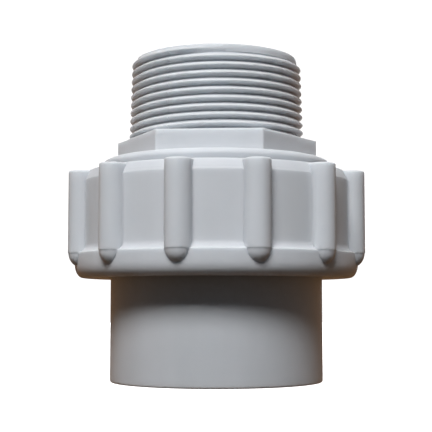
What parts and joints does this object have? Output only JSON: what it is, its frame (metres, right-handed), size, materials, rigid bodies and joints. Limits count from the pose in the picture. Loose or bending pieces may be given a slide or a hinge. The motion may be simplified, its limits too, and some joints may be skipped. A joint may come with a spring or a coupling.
{
  "type": "pipe union",
  "caption": "Moulded plastic pipe union: a solvent-weld socket end and a male tapered thread end, drawn together by a ribbed nut over a face seal.",
  "frame": {"origin": "centre of the socket end's mouth, on the plane the union stands on", "axes": "+Z along the pipe axis from the socket towards the male thread, -Y is the front with a hexagon flat turned 4.5 degrees from it"},
  "size_m": [0.08, 0.08, 0.0889],
  "materials": {
    "body_plastic": "satin moulded white PVC",
    "nut_plastic": "satin moulded white PVC",
    "seal_rubber": "smooth black rubber"
  },
  "bodies": {
    "socket_end": {"socket_end": "body_plastic"},
    "union_nut": {"union_nut": "nut_plastic"},
    "threaded_end": {"threaded_end": "body_plastic", "o_ring": "seal_rubber"}
  },
  "joints": [
    {"name": "nut_turn", "type": "hinge", "parent": "socket_end", "child": "union_nut", "pos_m": [0, 0, 0.0426], "axis": [0, 0, -1], "range_deg": [0, 1800]},
    {"name": "end_lift", "type": "slide", "parent": "socket_end", "child": "threaded_end", "axis": [0, 0, 1], "range_m": [0, 0.02]}
  ],
  "couplings": [
    {"joint": "end_lift", "follows": "nut_turn", "m_per_rad": 0.00063662}
  ]
}
